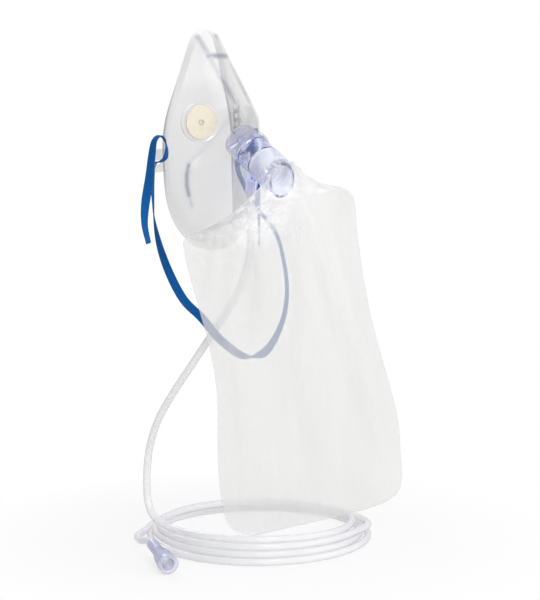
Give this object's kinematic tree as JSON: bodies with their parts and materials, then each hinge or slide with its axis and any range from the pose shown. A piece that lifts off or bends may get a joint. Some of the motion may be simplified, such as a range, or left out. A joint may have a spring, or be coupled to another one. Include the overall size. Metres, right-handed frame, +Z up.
{
  "type": "oxygen face mask",
  "caption": "Clear oxygen face mask with a film reservoir bag on a non-return connector, cheek exhalation valves, an elastic head strap and a coiled supply tube.",
  "frame": {"origin": "centre of the mask's opening, in the plane of its seal on the face, midway between nose and chin", "axes": "+Z up towards the nose, +Y out of the opening towards the wearer's face, +X towards the wearer's left"},
  "size_m": [0.2223, 0.2159, 0.3795],
  "materials": {
    "clear_vinyl": "clear, glossy",
    "tinted_plastic": "blue-violet tint, glossy",
    "cream_silicone": "matt",
    "frosted_film": "thin translucent film",
    "white_rubber": "milky",
    "blue_elastic": "woven elastic",
    "tube_vinyl": "clear, slightly violet"
  },
  "bodies": {
    "root": {"mask_body": "clear_vinyl", "exhalation_disc_right": "cream_silicone", "exhalation_disc_left": "cream_silicone", "oxygen_connector": "tinted_plastic", "check_valve_disc": "white_rubber", "reservoir_bag": "frosted_film", "bag_neck_band": "white_rubber", "head_strap": "blue_elastic", "supply_tube": "tube_vinyl", "tube_coil": "tube_vinyl", "supply_tube_end": "tube_vinyl", "supply_connector": "tinted_plastic"}
  },
  "joints": []
}
